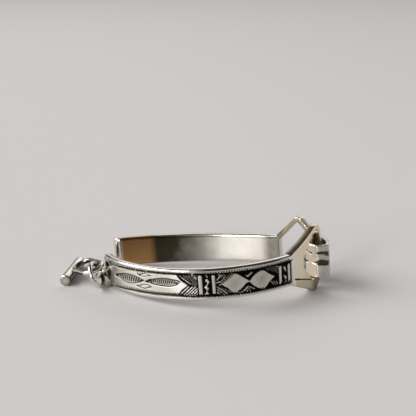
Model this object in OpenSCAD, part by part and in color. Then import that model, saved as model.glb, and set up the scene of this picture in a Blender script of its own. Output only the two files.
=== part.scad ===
// Hinged bangle of two stiff curved halves, lying on its edge.
// The halves meet in flared, windowed ends that a folded strap link holds together.
// Two rings and a toggle with a soldered loop hang from a slot in the front half's other end.
// Frame: X along the bangle's long side, -Y towards the front half, Z up, floor at Z = 0.

/* [Band] */
// Height of both halves, from edge to edge
band_h = 8.9; // [6:0.1:14]
// Thickness of the metal
band_t = 2.3; // [1.6:0.1:3.2]
// Rounding of the long edges
edge_r = 0.75; // [0.3:0.05:0.78]
// Outer size from the front of the front half to the back of the rear half
across = 35.5; // [34:0.5:42]

/* [Front half] */
// Outer radius of the front half
front_r = 35.2; // [34.6:0.1:36]
// Sweep from the middle to its free end
front_free_deg = 53.2; // [48:0.1:54]
// Sweep from the middle to where its end flares
front_flare_deg = 50.2; // [49.6:0.1:50.8]
// Slot for the chain: width, height, and distance of its middle from the free end
slot_w = 2.8; // [2.2:0.1:3]
slot_h = 5.4; // [4:0.1:6]
slot_in = 2.35; // [2.2:0.05:3]

/* [Rear half] */
// Outer radius of its long flat stretch
rear_flat_r = 95; // [90:1:100]
// Half sweep of the flat stretch
rear_flat_deg = 15.8; // [15.4:0.1:16.2]
// Outer radius of its curled ends
rear_curl_r = 30; // [29:0.5:31]
// Direction of the band at its free end
rear_free_deg = 26.2; // [22:0.1:30]
// Slant of the cut across its free end
rear_cut_deg = 34; // [0:1:40]
// Distance along the outer face from the middle to its flare
rear_flare_at = 21.4; // [21:0.1:21.8]

/* [Flared ends] */
// Height of the front flare's crest above the band's lower edge
front_crest = 14.5; // [13.8:0.1:15]
// Height of the rear flare's crest above the band's lower edge
rear_crest = 15.0; // [13.4:0.1:15.4]
// Length of the front flare along the band
front_flare_l = 15.8; // [15.5:0.1:16]
// Length of the rear flare along the band
rear_flare_l = 11.6; // [11.3:0.1:11.7]
// Width of the hinge bars at the ends of the flares
bar_w = 1.45; // [1.2:0.05:1.6]

/* [Strap link] */
// Height of the folded strap
strap_h = 9.6; // [8:0.1:9.8]
// Thickness of the strap
strap_t = 1.0; // [0.7:0.05:1.1]
// Gap between the strap's lower edge and the window that it rests in
strap_gap = 0.15; // [0.1:0.01:0.4]
// Depth of the two grooves round the strap
groove_d = 0.3; // [0.1:0.05:0.4]

/* [Chain and toggle] */
// Middle radius and wire of the ring in the slot
jump_r = 3.15; // [3.1:0.05:3.2]
jump_wire = 1.24; // [1:0.02:1.3]
// Middle radius and wire of the ring between it and the toggle
chain_r = 3.55; // [3.5:0.05:3.6]
chain_wire = 1.3; // [1:0.02:1.4]
// Toggle bar
toggle_d = 3.4; // [3.3:0.05:3.5]
toggle_l = 17.2; // [15:0.1:19]
// Wire, end radius and straight stretch of the toggle's loop
loop_wire = 1.44; // [1.2:0.02:1.5]
loop_r = 2.95; // [2.9:0.05:3]
loop_straight = 5.75; // [5.6:0.05:5.8]

/* [Stance] */
// Lean of the bangle, lifted at the hinge by the flares
lean = 4.1; // [3.5:0.1:5]

/* [Hidden] */
$fn = 64;
silver = "#d3cfc6";
// Points on each rounded corner of an outline, less one
corner_steps = 6;
// Cutters and blanks reach this far past what they cut
past = 4;
// Overlap that fuses two stretches of one solid
fuse = 0.5;
// Half sweep of the core across a joint between two stretches, and its depth below the surface
core_deg = 1;
core_in = 0.6;

front_cy = front_r - across / 2;
flat_cy = across / 2 - rear_flat_r;
curl_cx = (rear_flat_r - rear_curl_r) * sin(rear_flat_deg);
curl_cy = flat_cy + (rear_flat_r - rear_curl_r) * cos(rear_flat_deg);
flat_arc = rear_flat_r * rear_flat_deg * PI / 180;
rear_end_x = -(curl_cx + rear_curl_r * sin(rear_free_deg));
lift = -rear_end_x * tan(lean);

// Sweep angle for a length along an outer face of radius r
function sweep(l, r) = l / r * 180 / PI;

// Drop of a flare's tip below the band's lower edge so that its inner side stands on the floor
function tip_drop(x) = x * tan(lean) + lift;

// Places along the front flare, from where it starts, and heights on it
front_crest_at = 11.9;
front_tip_at = 9.6;
front_tip_x = (front_r - band_t) * sin(front_flare_deg + sweep(front_tip_at, front_r));
front_tip_z = -tip_drop(front_tip_x);
front_window_floor = -1.0;
strap_z = front_window_floor + strap_gap;

// Places along the rear flare, from where it starts
rear_crest_at = 6.6;
rear_tip_deg = rear_flat_deg + sweep(rear_flare_at + rear_crest_at - flat_arc, rear_curl_r);
rear_tip_x = curl_cx + (rear_curl_r - band_t) * sin(rear_tip_deg);
rear_tip_z = -tip_drop(rear_tip_x);

// Outlines are belts round discs listed anticlockwise. Columns: place, height, radius
front_outline = [
    [-fuse, 0, 0],
    [front_tip_at, front_tip_z + 2.2, 2.2],
    [front_flare_l - 2.2, 1.6, 2.2],
    [front_flare_l - 2.2, 7.4, 2.2],
    [front_crest_at, front_crest - 2.7, 2.7],
    [-fuse, band_h, 0]
];
front_window = [
    [9.0, front_window_floor + 0.6, 0.6],
    [front_flare_l - bar_w - 0.9, front_window_floor + 0.9, 0.9],
    [front_flare_l - bar_w - 0.9, 9.0, 0.9],
    [front_crest_at, 11.8, 1.2],
    [10.3, 11.4, 1.2],
    [5.6, 6.6, 0.8],
    [5.4, 4.2, 0.7]
];
rear_outline = [
    [-fuse, 0, 0],
    [rear_crest_at, rear_tip_z + 1.6, 1.6],
    [rear_flare_l - 2.2, 0.4, 2.2],
    [rear_flare_l - 2.2, 9.0, 2.2],
    [rear_crest_at, rear_crest - 1.6, 1.6],
    [-fuse, band_h, 0]
];
rear_window = [
    [0.9, 1.5, 0.5],
    [rear_crest_at - 0.2, rear_tip_z + 2.1, 0.7],
    [rear_flare_l - bar_w - 0.8, 0.2, 0.8],
    [rear_flare_l - bar_w - 0.8, 9.4, 0.8],
    [rear_crest_at - 0.2, rear_crest - 2.3, 0.7],
    [0.9, 7.4, 0.5]
];

// Plan of the strap's middle of each bend, anticlockwise. Columns: x, y
strap_bends = [[33.2, 4.5], [35.2, 5.4], [35.0, 8.2], [32.9, 13.2], [29.9, 13.7], [28.8, 11.2], [30.4, 6.8]];
strap_bend_r = 1.2;

// Stances of the chain. Columns: x, y, z, lean of the axis, heading of the axis, turn about it
jump_at = [-27.93, -3.76, 3.76, 41.4, 153.7, 0];
chain_at = [-29.45, -8.13, 4.03, 63.5, 1.4, 0];
loop_at = [-33.6, -3.92, 4.86, 21.7, -156.6, 114.9];
toggle_near = [-39.1, -8.6];
toggle_heading = 95;

// Direction of the outward normal shared by two neighbouring discs
function tangent_angle(a, b) =
    let (d = [b[0] - a[0], b[1] - a[1]])
    atan2(d[1], d[0]) - acos((a[2] - b[2]) / norm(d));

// Outline of a belt drawn tight round the discs
function belt(discs) = [
    for (i = [0:len(discs) - 1])
        let (
            n = len(discs),
            disc = discs[i],
            start = tangent_angle(discs[(i + n - 1) % n], disc),
            stop = tangent_angle(disc, discs[(i + 1) % n]),
            turn = stop - start - 360 * floor((stop - start) / 360),
            steps = disc[2] == 0 ? 0 : corner_steps
        )
        for (k = [0:steps])
            let (a = start + turn * (steps == 0 ? 0 : k / steps))
            [disc[0] + disc[2] * cos(a), disc[1] + disc[2] * sin(a)]
];

// Cross-section of the band, its outer face at x = 0
module band_section() {
    translate([-band_t, edge_r]) square([band_t, band_h - 2 * edge_r]);
    translate([edge_r - band_t, 0]) square([band_t - 2 * edge_r, band_h]);
    for (x = [edge_r - band_t, -edge_r], z = [edge_r, band_h - edge_r])
        translate([x, z]) circle(edge_r);
}

module core_section() {
    translate([core_in - band_t, 2 * core_in]) square([band_t - 2 * core_in, band_h - 4 * core_in]);
}

// Stretch of band of outer radius r from angle a to b, measured from -Y towards +X
module front_stretch(r, a, b) {
    rotate([0, 0, a - 90]) rotate_extrude(angle = b - a) translate([r, 0]) children();
}

// Blank as tall as the flares
module tall_section() {
    translate([-band_t, -2 * past]) square([band_t, band_h + 4 * past]);
}

// Moves a flat drawing of place and height onto the band where its outer face points along angle a
module on_face(r, a, place) {
    rotate([0, 0, a]) translate([-place, past - r, 0]) rotate([90, 0, 0])
        linear_extrude(height = 2 * past) children();
}

module front_frame() {
    translate([0, front_cy, 0]) children();
}

module front_flare() {
    middle = front_flare_l / 2;
    middle_deg = front_flare_deg + sweep(middle, front_r);
    difference() {
        intersection() {
            front_stretch(front_r, front_flare_deg - sweep(fuse, front_r), 90) tall_section();
            on_face(front_r, middle_deg, middle) polygon(belt(front_outline));
        }
        on_face(front_r, middle_deg, middle) polygon(belt(front_window));
    }
}

module slot() {
    reach = (slot_h - slot_w) / 2;
    translate([0, band_h / 2 - reach]) circle(slot_w / 2);
    translate([0, band_h / 2 + reach]) circle(slot_w / 2);
    translate([-slot_w / 2, band_h / 2 - reach]) square([slot_w, 2 * reach]);
}

module front_band() {
    slot_deg = sweep(slot_in, front_r) - front_free_deg;
    color(silver) stance() front_frame() {
        difference() {
            front_stretch(front_r, -front_free_deg, front_flare_deg) band_section();
            on_face(front_r, slot_deg, 0) slot();
        }
        front_flare();
    }
}

// Mirrors a stretch of the front's kind to the back, where angles run from +Y towards +X
module rear_stretch(r, a, b) {
    mirror([0, 1, 0]) front_stretch(r, a, b) children();
}

module rear_flare() {
    middle = 5.8;
    middle_deg = rear_flat_deg + sweep(rear_flare_at + middle - flat_arc, rear_curl_r);
    start_deg = sweep(rear_flare_at - fuse, rear_flat_r);
    difference() {
        intersection() {
            union() {
                translate([0, flat_cy, 0]) rear_stretch(rear_flat_r, start_deg, rear_flat_deg) tall_section();
                translate([curl_cx, curl_cy, 0])
                    rear_stretch(rear_curl_r, rear_flat_deg, rear_flat_deg + 45) tall_section();
            }
            translate([curl_cx, curl_cy, 0]) mirror([0, 1, 0])
                on_face(rear_curl_r, middle_deg, middle) polygon(belt(rear_outline));
        }
        translate([curl_cx, curl_cy, 0]) mirror([0, 1, 0])
            on_face(rear_curl_r, middle_deg, middle) polygon(belt(rear_window));
    }
}

module rear_band() {
    color(silver) stance() {
        difference() {
            union() {
                translate([0, flat_cy, 0])
                    rear_stretch(rear_flat_r, -rear_flat_deg, sweep(rear_flare_at, rear_flat_r)) band_section();
                translate([-curl_cx, curl_cy, 0]) {
                    rear_stretch(rear_curl_r, -rear_free_deg, -rear_flat_deg) band_section();
                    // Core inside the metal that joins the two stretches
                    rear_stretch(rear_curl_r, -rear_flat_deg - core_deg, -rear_flat_deg + core_deg) core_section();
                }
            }
            // The slanted cut leaves the outer face its full length
            translate([rear_end_x, curl_cy + rear_curl_r * cos(rear_free_deg), -past])
                rotate([0, 0, rear_free_deg + rear_cut_deg])
                    translate([-2 * past, -2 * past, 0]) cube([2 * past, 3 * past, band_h + 2 * past]);
        }
        rear_flare();
    }
}

// Strap outline, its outer face moved in by depth d
function strap_outline(d) = belt([for (b = strap_bends) [b[0], b[1], strap_bend_r - d]]);

module strap_band(z, h) {
    translate([0, 0, z]) linear_extrude(height = h) difference() {
        polygon(strap_outline(0));
        polygon(strap_outline(groove_d));
    }
}

module strap_link() {
    color(silver) stance() translate([0, 0, strap_z]) difference() {
        linear_extrude(height = strap_h) difference() {
            polygon(strap_outline(0));
            polygon(strap_outline(strap_t));
        }
        // Two grooves leave a ridge between them
        strap_band(strap_h * 0.42, 1.3);
        strap_band(strap_h * 0.68, 0.9);
    }
}

// Leans the bangle up at the hinge and stands it on the floor
module stance() {
    translate([0, 0, lift * cos(lean)]) rotate([0, -lean, 0]) children();
}

module placed(at) {
    translate([at[0], at[1], at[2]]) rotate([0, at[3], at[4]]) rotate([0, 0, at[5]]) children();
}

module wire_ring(r, wire) {
    rotate_extrude() translate([r, 0]) circle(wire / 2);
}

module jump_ring() {
    color(silver) placed(jump_at) wire_ring(jump_r, jump_wire);
}

module chain_ring() {
    color(silver) placed(chain_at) wire_ring(chain_r, chain_wire);
}

module toggle_loop() {
    for (s = [-1, 1]) {
        translate([s * loop_straight / 2, 0, 0]) rotate([0, 0, -90 * s])
            rotate_extrude(angle = 180) translate([loop_r, 0]) circle(loop_wire / 2);
        translate([-loop_straight / 2, s * loop_r, 0]) rotate([0, 90, 0])
            cylinder(h = loop_straight, r = loop_wire / 2);
    }
}

module toggle() {
    color(silver) {
        translate([toggle_near[0], toggle_near[1], toggle_d / 2]) rotate([0, 90, toggle_heading])
            cylinder(h = toggle_l, r = toggle_d / 2);
        placed(loop_at) toggle_loop();
    }
}

front_band();
rear_band();
strap_link();
jump_ring();
chain_ring();
toggle();
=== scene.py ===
"""Hinged silver bangle: two stiff curved halves, a folded strap link, two rings and a toggle.

Sizes are in millimetres and follow part.scad; meshes are written in metres. The bangle's own
frame has X along its long side, -Y towards the engraved half and Z up from its lower edge.
"""

import logging
import math
from collections.abc import Callable
from dataclasses import dataclass, field
from enum import Enum

import bmesh
import bpy
import numpy as np
from mathutils import Matrix, Vector
from mathutils.geometry import delaunay_2d_cdt

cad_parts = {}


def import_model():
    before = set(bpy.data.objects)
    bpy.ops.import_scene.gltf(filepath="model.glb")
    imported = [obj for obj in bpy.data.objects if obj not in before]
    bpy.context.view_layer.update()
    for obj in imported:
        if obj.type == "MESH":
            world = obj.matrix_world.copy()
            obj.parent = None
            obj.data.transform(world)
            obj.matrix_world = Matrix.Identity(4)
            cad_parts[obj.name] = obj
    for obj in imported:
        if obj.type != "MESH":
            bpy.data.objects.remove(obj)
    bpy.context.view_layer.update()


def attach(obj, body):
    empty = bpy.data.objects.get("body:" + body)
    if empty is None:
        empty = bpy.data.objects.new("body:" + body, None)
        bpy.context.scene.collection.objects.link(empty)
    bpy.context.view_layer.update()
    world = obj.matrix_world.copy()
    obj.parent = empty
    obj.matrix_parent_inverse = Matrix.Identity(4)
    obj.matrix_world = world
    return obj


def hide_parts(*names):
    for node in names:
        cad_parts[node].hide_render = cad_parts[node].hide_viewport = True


logging.basicConfig(level=logging.INFO, format="%(name)s: %(message)s")
log = logging.getLogger("bangle")

MM = 0.001
# Lean up at the hinge, and height of the bangle's own origin above the floor
LEAN_DEG = 4.1
LIFT = 2.2124
# Farther than anything here, and how many points are measured at once
FAR = 1e9
CHUNK = 20000
# Longest edge along an outline
RIM_STEP = 0.3
# Length of one unit of the UV map, and the share of a depth that it adds, so that walls show
UV_UNIT = 100
UV_DEPTH = 0.7
# Noise seldom leaves this span
NOISE_LOW, NOISE_HIGH = 0.3, 0.7

Disc = tuple[float, float, float]
Run = tuple[float, ...]


def linear(hex_code: str) -> tuple[float, float, float, float]:
    """Turns an sRGB hex colour into linear RGBA.

    Args:
        hex_code: Six hex digits with a leading hash.

    Returns:
        Linear red, green, blue and an alpha of one.
    """
    values = [int(hex_code[i : i + 2], 16) / 255 for i in (1, 3, 5)]
    r, g, b = (v / 12.92 if v <= 0.04045 else ((v + 0.055) / 1.055) ** 2.4 for v in values)
    return (r, g, b, 1.0)


def ramp(x: np.ndarray, start: float = 0.0, over: float = 1.0) -> np.ndarray:
    """Eases from 0 to 1 as x goes from a start over a length."""
    x = np.clip((x - start) / over, 0.0, 1.0)
    return x * x * (3 - 2 * x)


def stance() -> Matrix:
    """Leans the bangle up at the hinge and stands it on the floor, in metres."""
    lean = Matrix.Rotation(math.radians(-LEAN_DEG), 4, "Y")
    return Matrix.Translation((0, 0, LIFT * MM)) @ lean


def placed(x: float, y: float, z: float, lean: float, heading: float, turn: float) -> Matrix:
    """Stance of a chain piece whose own axis is Z.

    Args:
        x, y, z: Place of its middle in millimetres.
        lean: Lean of its axis from upright in degrees.
        heading: Heading of that lean in degrees.
        turn: Turn about its own axis in degrees.

    Returns:
        A matrix in metres.
    """
    made = Matrix.Translation((x * MM, y * MM, z * MM))
    for angle, axis in ((heading, "Z"), (lean, "Y"), (turn, "Z")):
        made = made @ Matrix.Rotation(math.radians(angle), 4, axis)
    return made


def belt(discs: list[Disc], steps: int = 10) -> np.ndarray:
    """Outline of a belt drawn tight round discs listed anticlockwise.

    Args:
        discs: Place, height and radius of each disc.
        steps: Points on each rounded corner, less one.

    Returns:
        Points as an array of place and height.
    """
    count = len(discs)

    def facing(a: Disc, b: Disc) -> float:
        """Direction of the outward normal that two neighbouring discs share."""
        dx, dy = b[0] - a[0], b[1] - a[1]
        return math.atan2(dy, dx) - math.acos((a[2] - b[2]) / math.hypot(dx, dy))

    points = []
    for i, disc in enumerate(discs):
        start = facing(discs[i - 1], disc)
        turn = (facing(disc, discs[(i + 1) % count]) - start) % (2 * math.pi)
        parts = steps if disc[2] > 0 else 0
        for k in range(parts + 1):
            a = start + (turn * k / parts if parts else 0)
            points.append((disc[0] + disc[2] * math.cos(a), disc[1] + disc[2] * math.sin(a)))
    return np.array(points)


def resampled(loop: np.ndarray, step: float = RIM_STEP) -> np.ndarray:
    """Adds points so that no edge of a closed loop is longer than a step.

    Args:
        loop: Corners of the loop.
        step: Longest edge.

    Returns:
        The loop with the added points, and without corners that repeat.
    """
    points = []
    for a, b in zip(loop, np.roll(loop, -1, axis=0)):
        length = float(np.linalg.norm(b - a))
        if length < 1e-6:
            continue
        parts = max(1, math.ceil(length / step))
        points.extend(a + (b - a) * k / parts for k in range(parts))
    return np.array(points)


def inward(loop: np.ndarray) -> np.ndarray:
    """Mitred normals to the left of a closed loop.

    Args:
        loop: Points, anticlockwise round metal and clockwise round a hole.

    Returns:
        One vector for each point.
    """
    edge = np.roll(loop, -1, axis=0) - loop
    edge /= np.linalg.norm(edge, axis=1, keepdims=True)
    left = np.stack([-edge[:, 1], edge[:, 0]], axis=1)
    both = left + np.roll(left, 1, axis=0)
    both /= np.linalg.norm(both, axis=1, keepdims=True)
    return both / np.maximum(0.6, (both * left).sum(1, keepdims=True))


def inside(points: np.ndarray, loops: list[np.ndarray]) -> np.ndarray:
    """Tells which points lie inside the loops by the even-odd rule.

    Args:
        points: Points to test.
        loops: Closed loops.

    Returns:
        A truth value for each point.
    """
    odd = np.zeros(len(points), bool)
    x, y = points[:, 0], points[:, 1]
    for loop in loops:
        for (ax, ay), (bx, by) in zip(loop, np.roll(loop, -1, axis=0)):
            if ay == by:
                continue
            across = (ay > y) != (by > y)
            odd ^= across & (x < (bx - ax) * (y - ay) / (by - ay) + ax)
    return odd


def distance(points: np.ndarray, path: np.ndarray) -> np.ndarray:
    """Distance from points to an open path.

    Args:
        points: Points to measure from.
        path: Corners of the path.

    Returns:
        A distance for each point.
    """
    best = np.full(len(points), FAR)
    for a, b in zip(path[:-1], path[1:]):
        along = b - a
        t = np.clip(((points - a) @ along) / max(float(along @ along), 1e-12), 0, 1)
        best = np.minimum(best, np.linalg.norm(points - a - t[:, None] * along, axis=1))
    return best


def closed(path: np.ndarray) -> np.ndarray:
    """Repeats the first point at the end."""
    return np.vstack([path, path[:1]])


def grid(low_s: float, high_s: float, low_z: float, high_z: float, step: float) -> np.ndarray:
    """Spreads points evenly over a flat rectangle.

    Args:
        low_s, high_s: Its ends along the band.
        low_z, high_z: Its lowest and highest height.
        step: Space between points.

    Returns:
        Points as an array of place and height.
    """
    s = np.linspace(low_s, high_s, max(2, round((high_s - low_s) / step)))
    z = np.linspace(low_z, high_z, max(2, round((high_z - low_z) / step)))
    return np.stack(np.meshgrid(s, z), axis=-1).reshape(-1, 2)


def node(
    tree: bpy.types.NodeTree, kind: str, links: dict | None = None, **settings: object
) -> bpy.types.Node:
    """Adds a node, sets its properties and inputs, and links what feeds it.

    Args:
        tree: The tree that the node goes into.
        kind: Blender's name for the node type.
        links: Input name or index to the output socket or value that goes in.
        settings: Properties of the node.

    Returns:
        The new node.
    """
    made = tree.nodes.new(kind)
    for name, value in settings.items():
        setattr(made, name, value)
    for key, value in (links or {}).items():
        socket = made.inputs[key]
        if isinstance(value, bpy.types.NodeSocket):
            tree.links.new(value, socket)
        else:
            socket.default_value = value
    return made


def linked(name: str, data: bpy.types.ID) -> bpy.types.Object:
    """Puts data into the scene.

    Args:
        name: Name of the object.
        data: Its mesh, curve, light or camera.

    Returns:
        The new object.
    """
    made = bpy.data.objects.new(name, data)
    bpy.context.scene.collection.objects.link(made)
    return made


def faced(mesh: bpy.types.Mesh, weld: float = 0.0) -> None:
    """Turns all faces outward and shades them smooth.

    Args:
        mesh: The mesh.
        weld: Points this close in metres are joined first, unless it is zero.
    """
    built = bmesh.new()
    built.from_mesh(mesh)
    if weld:
        bmesh.ops.remove_doubles(built, verts=built.verts, dist=weld)
    bmesh.ops.recalc_face_normals(built, faces=built.faces)
    built.to_mesh(mesh)
    built.free()
    mesh.shade_smooth()


def mesh_object(
    name: str, points: np.ndarray, faces: list, place: Matrix, unfolded: np.ndarray | None = None
) -> bpy.types.Object:
    """Makes a closed smooth mesh with its place in its vertices.

    Args:
        name: Name of the object.
        points: Vertices in millimetres.
        faces: Vertex indices of each face.
        place: Matrix in metres from the points' frame to the world.
        unfolded: Place along and height of each vertex in millimetres, for the UV map.

    Returns:
        The linked object.
    """
    mesh = bpy.data.meshes.new(name)
    mesh.from_pydata((points * MM).tolist(), [], faces)
    mesh.transform(place)
    faced(mesh)
    mesh.update()
    if unfolded is not None:
        corners = np.zeros(len(mesh.loops), np.int32)
        mesh.loops.foreach_get("vertex_index", corners)
        layer = mesh.uv_layers.new(name="along")
        layer.uv.foreach_set("vector", (unfolded[corners] / UV_UNIT).astype(np.float32).ravel())
    return linked(name, mesh)


def places_of(mesh: bpy.types.Mesh) -> np.ndarray:
    """Reads where a mesh's vertices are.

    Args:
        mesh: The mesh.

    Returns:
        A row for each vertex, in millimetres.
    """
    places = np.zeros(3 * len(mesh.vertices), np.float32)
    mesh.vertices.foreach_get("co", places)
    return places.reshape(-1, 3) / MM


def paint(made: bpy.types.Object, name: str, values: np.ndarray) -> None:
    """Stores a number for each vertex as an attribute that a finish reads."""
    layer = made.data.attributes.new(name, "FLOAT", "POINT")
    layer.data.foreach_set("value", np.asarray(values, np.float32))


class Grain(Enum):
    """How a silver surface was last worked, with the depth of its scratches in metres."""

    RUBBED = 0.00001
    SATIN = 0.00002


@dataclass(frozen=True)
class Silver:
    """Sterling silver, filed and polished by hand and then worn.

    Wear leaves a soft, uneven mirror with fine scratches. Blackening stays in the cuts.
    """

    name: str
    colour: str = "#f0eeea"
    warm: str = "#ddd5c6"
    # Brown and the oxide black stand for tarnish and also for painted shade; the reflection tint
    # colours painted reflections
    brown: str = "#5d4a35"
    oxide_and_shade: str = "#161310"
    reflection_tint: str = "#ecd6a6"
    polish: float = 0.12
    roughness: float = 0.3
    cut_rough: float = 0.25
    spread: float = 0.85
    clouding: float = 0.5
    grain: Grain = Grain.RUBBED

    def build(self) -> bpy.types.Material:
        """Makes the material.

        Returns:
            A material that reads Object coordinates and the painted reflection, tarnish and
            painted shade, cut and brushed.
        """
        made = bpy.data.materials.new(self.name)
        made.use_nodes = True
        tree = made.node_tree
        tree.nodes.clear()
        place = node(tree, "ShaderNodeTexCoord").outputs["Object"]
        noises = []
        for size, detail, rough in (
            # Tarnish clouds about 4 mm wide
            (0.004, 4.0, 0.6),
            # Rubbing marks about 0.3 mm apart
            (0.0003, 2.0, 0.5),
            # File waves about 7 mm long, left by hand finishing
            (0.007, 1.0, 0.4),
        ):
            links = {"Vector": place, "Scale": 1 / size, "Detail": detail, "Roughness": rough}
            noises.append(node(tree, "ShaderNodeTexNoise", links).outputs["Fac"])
        clouds, rub, waves = noises
        film, haze_and_shade, cut, brushed = (
            node(tree, "ShaderNodeAttribute", attribute_name=name).outputs["Fac"]
            for name in ("film", "tarnish", "cut", "brushed")
        )
        # Tarnish and painted shade are uneven, by the share clouding on both sides of its mean
        links = {"Value": clouds, "From Min": NOISE_LOW, "From Max": NOISE_HIGH}
        links |= {"To Min": 1 - self.clouding, "To Max": 1 + self.clouding}
        uneven = node(tree, "ShaderNodeMapRange", links).outputs["Result"]
        haze_and_shade = node(tree, "ShaderNodeMath", {0: haze_and_shade, 1: uneven}, operation="MULTIPLY").outputs[0]
        # Tarnish and painted shade turn from brown towards black between 1 and 2
        black = node(tree, "ShaderNodeMath", {0: haze_and_shade, 1: 1.0}, operation="SUBTRACT").outputs[0]
        colour = linear(self.colour)
        # Clouds warm the colour, then painted reflections, tarnish with painted shade, and
        # blackened cuts tint it in turn
        for share, shade in (
            (clouds, self.warm),
            (film, self.reflection_tint),
            (haze_and_shade, self.brown),
            (black, self.oxide_and_shade),
            (cut, self.oxide_and_shade),
        ):
            links = {"Factor": share, 6: colour, 7: linear(shade)}
            colour = node(tree, "ShaderNodeMix", links, data_type="RGBA").outputs[2]
        links = {"Value": rub, "From Min": NOISE_LOW, "From Max": NOISE_HIGH}
        links |= {"To Min": self.polish * 0.8, "To Max": self.polish * 1.25}
        rough = node(tree, "ShaderNodeMapRange", links).outputs["Result"]
        for share, more in ((brushed, self.roughness - self.polish), (cut, self.cut_rough)):
            links = {0: share, 1: more, 2: rough}
            rough = node(tree, "ShaderNodeMath", links, operation="MULTIPLY_ADD").outputs[0]
        links = {"Strength": 0.5, "Distance": self.grain.value, "Height": rub}
        bump = node(tree, "ShaderNodeBump", links).outputs["Normal"]
        links = {"Strength": 0.6, "Distance": 0.0001, "Height": waves, "Normal": bump}
        bump = node(tree, "ShaderNodeBump", links).outputs["Normal"]
        links = {"Base Color": colour, "Metallic": 1.0, "Roughness": rough, "Normal": bump}
        shader = node(tree, "ShaderNodeBsdfPrincipled", links)
        if self.grain is Grain.RUBBED:
            # Rubbed along the band, so reflections spread up and down
            run = node(tree, "ShaderNodeTangent", direction_type="UV_MAP", uv_map="along")
            tree.links.new(run.outputs["Tangent"], shader.inputs["Tangent"])
            shader.inputs["Anisotropic"].default_value = self.spread
            shader.inputs["Anisotropic Rotation"].default_value = 0.25
        node(tree, "ShaderNodeOutputMaterial", {"Surface": shader.outputs["BSDF"]})
        return made


@dataclass
class FrontPlan:
    """Plan of the front half: one arc. Places run along its outer face from the middle."""

    radius: float = 35.2
    centre_y: float = 17.45
    free_deg: float = 53.2
    flare_deg: float = 50.2
    flare_l: float = 15.8

    @property
    def left(self) -> float:
        """Place of the free end."""
        return -self.radius * math.radians(self.free_deg)

    @property
    def flare_at(self) -> float:
        """Place where the flare starts."""
        return self.radius * math.radians(self.flare_deg)

    def points(self, s: np.ndarray, z: np.ndarray, depth: np.ndarray) -> np.ndarray:
        """Wraps flat places onto the band.

        Args:
            s: Places along the outer face.
            z: Heights above the lower edge.
            depth: Depths below the outer face.

        Returns:
            Points in the bangle's frame.
        """
        u = s - self.flare_at
        r = self.radius - depth
        half = self.flare_l / 2
        # The flare is sawn straight through along one direction
        straight = math.radians(self.flare_deg) + half / self.radius
        sawn = straight + np.arcsin(np.clip((u - half) / r, -1, 1))
        share = ramp(u, -3, 3.5)
        a = s / self.radius * (1 - share) + sawn * share
        return np.stack([r * np.sin(a), self.centre_y - r * np.cos(a), z], axis=1)


@dataclass
class RearPlan:
    """Plan of the rear half: a long flat arc with curled ends."""

    flat_r: float = 95.0
    flat_deg: float = 15.8
    curl_r: float = 30.0
    free_deg: float = 26.2
    cut_deg: float = 34.0
    flare_at: float = 21.4
    flare_l: float = 11.6
    flare_mid: float = 5.8
    across: float = 35.5

    @property
    def flat_arc(self) -> float:
        """Half length of the flat stretch."""
        return self.flat_r * math.radians(self.flat_deg)

    @property
    def left(self) -> float:
        """Place of the free end."""
        return -self.flat_arc - self.curl_r * math.radians(self.free_deg - self.flat_deg)

    def points(self, s: np.ndarray, z: np.ndarray, depth: np.ndarray) -> np.ndarray:
        """Wraps flat places onto the band, with the slanted cut at its free end.

        Args:
            s: Places along the outer face.
            z: Heights above the lower edge.
            depth: Depths below the outer face.

        Returns:
            Points in the bangle's frame.
        """
        slant = math.tan(math.radians(self.cut_deg)) * (1 - ramp(s, self.left, 6))
        s = s + depth * slant
        flat = math.radians(self.flat_deg)
        flat_y = self.across / 2 - self.flat_r
        arm = self.flat_r - self.curl_r
        curl_x, curl_y = arm * math.sin(flat), flat_y + arm * math.cos(flat)

        def bent(a: np.ndarray, curled: np.ndarray, side: np.ndarray | float) -> np.ndarray:
            """Bends the sheet.

            Args:
                a: Angle of each point.
                curled: Whether it is on a curl, or else on the flat arc.
                side: Side of that curl.

            Returns:
                Points in the bangle's frame.
            """
            r = np.where(curled, self.curl_r, self.flat_r) - depth
            x = np.where(curled, side * curl_x, 0) + r * np.sin(a)
            return np.stack([x, np.where(curled, curl_y, flat_y) + r * np.cos(a), z], axis=1)

        # Bent sheet, cut square to its face
        side = np.sign(s)
        beyond = np.maximum(np.abs(s) - self.flat_arc, 0)
        a = side * (np.minimum(np.abs(s), self.flat_arc) / self.flat_r + beyond / self.curl_r)
        square = bent(a, beyond > 0, side)
        # Flare sawn straight through along one direction
        u = s - self.flare_at - self.flare_mid
        facing = flat + (self.flare_at + self.flare_mid - self.flat_arc) / self.curl_r
        curl_a = facing + np.arcsin(np.clip(u / (self.curl_r - depth), -1, 1))
        shift = -curl_x * math.cos(facing) + (curl_y - flat_y) * math.sin(facing)
        flat_a = facing + np.arcsin(np.clip((u - shift) / (self.flat_r - depth), -1, 1))
        on_curl = curl_a >= flat
        sawn = bent(np.where(on_curl, curl_a, flat_a), on_curl, 1.0)
        share = ramp(s, self.flare_at - 3, 3.5)[:, None]
        return square * (1 - share) + sawn * share


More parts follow.
